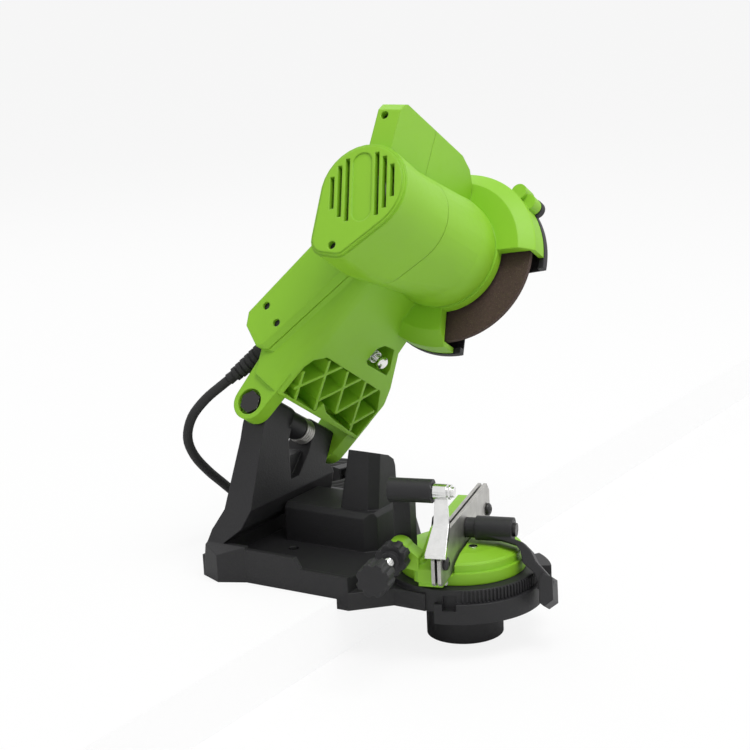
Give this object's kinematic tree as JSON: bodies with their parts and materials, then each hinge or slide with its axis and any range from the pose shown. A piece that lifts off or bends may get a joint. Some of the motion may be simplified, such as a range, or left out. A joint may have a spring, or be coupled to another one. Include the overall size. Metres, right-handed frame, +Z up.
{
  "type": "bench chain sharpener",
  "caption": "Bench-mounted electric chainsaw sharpener: tilted motor head with guarded grinding disc on a sprung hinge above a turning chain vise with pawl, clamp lever and clamp knob.",
  "frame": {"origin": "middle of the line between the two bench screw holes, on the face that rests on the bench", "axes": "+Z up out of the bench, -Y toward the user and the chain vise, +X to the wheel side"},
  "size_m": [0.2709, 0.3265, 0.3094],
  "materials": {
    "abrasive": "coarse",
    "black_plastic": "fine texture",
    "chrome": "polished",
    "copper": "wound",
    "cord_rubber": "smooth",
    "dark_steel": "black oxide",
    "green_plastic": "satin",
    "plate_steel": "ground",
    "white_plastic": "smooth"
  },
  "bodies": {
    "base": {"base": "black_plastic", "hinge_bolt": "dark_steel", "hinge_nut": "plate_steel", "return_spring": "plate_steel", "cord": "cord_rubber", "cord_coil": "cord_rubber", "cord_tie": "black_plastic", "plug": "cord_rubber", "plug_pins": "chrome"},
    "head": {"housing": "green_plastic", "motor_cover": "green_plastic", "wheel_cover": "black_plastic", "stator": "copper", "rear_bearing": "plate_steel", "front_bearing": "plate_steel", "cover_screws": "dark_steel", "brush_holders": "black_plastic", "strain_relief": "cord_rubber", "cable_clamp": "black_plastic", "switch_frame": "black_plastic"},
    "wheel": {"spindle": "plate_steel", "rotor": "plate_steel", "commutator": "copper", "fan": "black_plastic", "inner_flange": "plate_steel", "grinding_wheel": "abrasive", "outer_flange": "plate_steel", "wheel_nut": "plate_steel"},
    "vise": {"turntable": "green_plastic", "pivot_stud": "plate_steel", "rail_plate_rear": "plate_steel", "clamp_bolt": "dark_steel", "rail_screws": "dark_steel", "scale_pointer": "white_plastic", "dome_screw": "chrome"},
    "front_plate": {"rail_plate_front": "plate_steel"},
    "lever": {"clamp_lever": "black_plastic"},
    "clamp_knob": {"clamp_knob": "black_plastic"},
    "carrier": {"pawl_carrier": "black_plastic", "pawl_pin": "chrome", "pin_clip": "chrome"},
    "pawl": {"pawl": "chrome"},
    "screw": {"adjusting_screw": "chrome", "star_knob": "black_plastic"},
    "lock_knob": {"lock_knob": "black_plastic"},
    "depth": {"depth_screw": "chrome"},
    "rocker": {"switch_rocker": "black_plastic"}
  },
  "joints": [
    {"name": "head_swing", "type": "hinge", "parent": "base", "child": "head", "pos_m": [0, 0.0185, 0.0804], "axis": [0.8572, 0, -0.515], "range_deg": [0, 50], "stiffness_Nm_per_rad": 1.2, "springref_deg": -80.21},
    {"name": "wheel_spin", "type": "hinge", "parent": "head", "child": "wheel", "pos_m": [0.06054, -0.05871, 0.18115], "axis": [0.8572, 0, -0.515], "continuous": true},
    {"name": "vise_turn", "type": "hinge", "parent": "base", "child": "vise", "pos_m": [0, -0.1, 0], "axis": [0, 0, 1], "range_deg": [-50, 20]},
    {"name": "clamp_knob_turn", "type": "hinge", "parent": "vise", "child": "clamp_knob", "pos_m": [0, -0.1, -0.02], "axis": [0, 0, 1], "range_deg": [0, 360]},
    {"name": "lever_turn", "type": "hinge", "parent": "vise", "child": "lever", "pos_m": [0.00518, -0.11932, 0.031], "axis": [-0.2588, 0.9659, 0], "range_deg": [0, 60]},
    {"name": "plate_pinch", "type": "slide", "parent": "vise", "child": "front_plate", "axis": [-0.2588, 0.9659, 0], "range_m": [0, 0.00047]},
    {"name": "adjust_turn", "type": "hinge", "parent": "vise", "child": "screw", "pos_m": [-0.08374, -0.09656, 0.0305], "axis": [0.9659, 0.2588, 0], "range_deg": [0, 2160]},
    {"name": "pawl_slide", "type": "slide", "parent": "vise", "child": "carrier", "axis": [0.9659, 0.2588, 0], "range_m": [0, 0.00599]},
    {"name": "lock_knob_turn", "type": "hinge", "parent": "vise", "child": "lock_knob", "pos_m": [-0.06443, -0.09138, 0.0305], "axis": [0.9659, 0.2588, 0], "range_deg": [0, 360]},
    {"name": "pawl_flip", "type": "hinge", "parent": "carrier", "child": "pawl", "pos_m": [-0.04153, -0.11113, 0.066], "axis": [-0.2588, 0.9659, 0], "range_deg": [0, 100]},
    {"name": "depth_turn", "type": "hinge", "parent": "head", "child": "depth", "pos_m": [0.03585, -0.014, 0.12453], "axis": [0.2575, 0.866, 0.4286], "range_deg": [0, 720]},
    {"name": "switch_rock", "type": "hinge", "parent": "head", "child": "rocker", "pos_m": [0.05583, 0.01589, 0.08012], "axis": [0.2575, 0.866, 0.4286], "range_deg": [0, 10]}
  ],
  "couplings": [
    {"joint": "lever_turn", "follows": "plate_pinch", "rad_per_m": 2222.2},
    {"joint": "adjust_turn", "follows": "pawl_slide", "rad_per_m": 6289.3}
  ]
}
